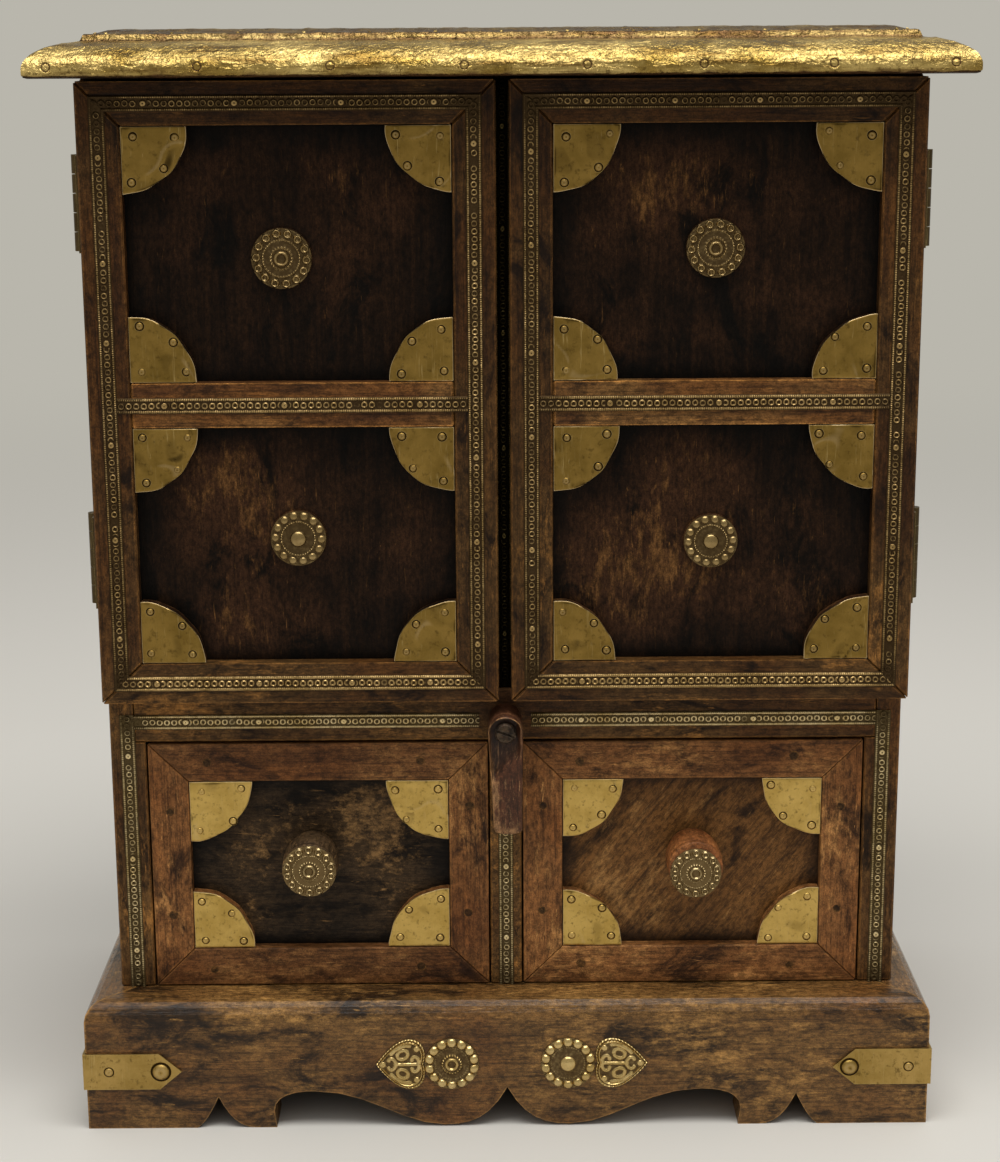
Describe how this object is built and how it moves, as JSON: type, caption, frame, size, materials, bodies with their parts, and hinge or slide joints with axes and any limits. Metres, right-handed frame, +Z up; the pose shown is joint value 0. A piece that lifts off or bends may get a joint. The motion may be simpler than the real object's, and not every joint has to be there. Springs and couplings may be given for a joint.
{
  "type": "table cabinet",
  "caption": "Small wooden table cabinet with a brass-covered moulded top, hinged doors over drawers, bead-strip trim, a turn button and a scalloped plinth.",
  "frame": {"origin": "on the floor, under the middle of the top", "axes": "+Z up, -Y towards the front (doors and drawers), +X to the right as seen from the front"},
  "size_m": [0.386, 0.237, 0.4828],
  "materials": {
    "dark_wood": "dark stained and waxed, worn brown in places",
    "frame_wood": "dark brown stained hardwood, satin",
    "drawer_wood": "reddish brown hardwood, satin",
    "plinth_wood": "brown hardwood with dark stains, satin",
    "button_wood": "dark red-brown hardwood, polished by handling",
    "bright_brass": "hammered sheet brass, bright",
    "aged_brass": "aged stamped brass, dark in its recesses",
    "dark_iron": "tarnished iron"
  },
  "bodies": {
    "carcass": {"top_board": "dark_wood", "top_brass_cover": "bright_brass", "side_panel_left": "frame_wood", "side_panel_right": "frame_wood", "back_panel": "dark_wood", "mid_deck": "frame_wood", "bottom_deck": "dark_wood", "drawer_divider": "frame_wood", "cupboard_divider": "dark_wood", "plinth_front": "plinth_wood", "plinth_left": "plinth_wood", "plinth_right": "plinth_wood", "plinth_back": "plinth_wood", "plinth_strap_left": "aged_brass", "plinth_strap_right": "aged_brass", "carcass_bead_left": "aged_brass", "carcass_bead_right": "aged_brass", "carcass_bead_centre": "aged_brass", "turn_button_screw": "dark_iron", "left_upper_hinge_carcass_leaf": "aged_brass", "left_lower_hinge_carcass_leaf": "aged_brass", "right_upper_hinge_carcass_leaf": "aged_brass", "right_lower_hinge_carcass_leaf": "aged_brass", "left_upper_hinge_pin": "aged_brass", "left_lower_hinge_pin": "aged_brass", "right_upper_hinge_pin": "aged_brass", "right_lower_hinge_pin": "aged_brass"},
    "left_door": {"left_door_board": "dark_wood", "left_door_hinge_stile": "frame_wood", "left_door_meeting_stile": "frame_wood", "left_door_top_rail": "frame_wood", "left_door_mid_rail": "frame_wood", "left_door_bottom_rail": "frame_wood", "left_door_bead": "aged_brass", "left_upper_hinge_door_leaf": "aged_brass", "left_lower_hinge_door_leaf": "aged_brass"},
    "right_door": {"right_door_board": "dark_wood", "right_door_hinge_stile": "frame_wood", "right_door_meeting_stile": "frame_wood", "right_door_top_rail": "frame_wood", "right_door_mid_rail": "frame_wood", "right_door_bottom_rail": "frame_wood", "right_door_bead": "aged_brass", "right_upper_hinge_door_leaf": "aged_brass", "right_lower_hinge_door_leaf": "aged_brass"},
    "left_drawer": {"left_drawer_front": "dark_wood", "left_drawer_front_frame": "drawer_wood", "left_drawer_left_wall": "drawer_wood", "left_drawer_right_wall": "drawer_wood", "left_drawer_back": "drawer_wood", "left_drawer_bottom": "drawer_wood", "left_drawer_knob": "dark_wood"},
    "right_drawer": {"right_drawer_front": "drawer_wood", "right_drawer_front_frame": "drawer_wood", "right_drawer_left_wall": "drawer_wood", "right_drawer_right_wall": "drawer_wood", "right_drawer_back": "drawer_wood", "right_drawer_bottom": "drawer_wood", "right_drawer_knob": "drawer_wood"},
    "turn_button": {"turn_button": "button_wood"}
  },
  "joints": [
    {"name": "left_door_hinge", "type": "hinge", "parent": "carcass", "child": "left_door", "pos_m": [-0.1776, -0.08575, 0.3297], "axis": [0, 0, -1], "range_deg": [0, 180]},
    {"name": "right_door_hinge", "type": "hinge", "parent": "carcass", "child": "right_door", "pos_m": [0.1776, -0.08575, 0.3297], "axis": [0, 0, 1], "range_deg": [0, 180]},
    {"name": "left_drawer_slide", "type": "slide", "parent": "carcass", "child": "left_drawer", "axis": [0, -1, 0], "range_m": [0, 0.14]},
    {"name": "right_drawer_slide", "type": "slide", "parent": "carcass", "child": "right_drawer", "axis": [0, -1, 0], "range_m": [0, 0.14]},
    {"name": "turn_button_pivot", "type": "hinge", "parent": "carcass", "child": "turn_button", "pos_m": [0, -0.0855, 0.185], "axis": [0, -1, 0], "continuous": true}
  ]
}
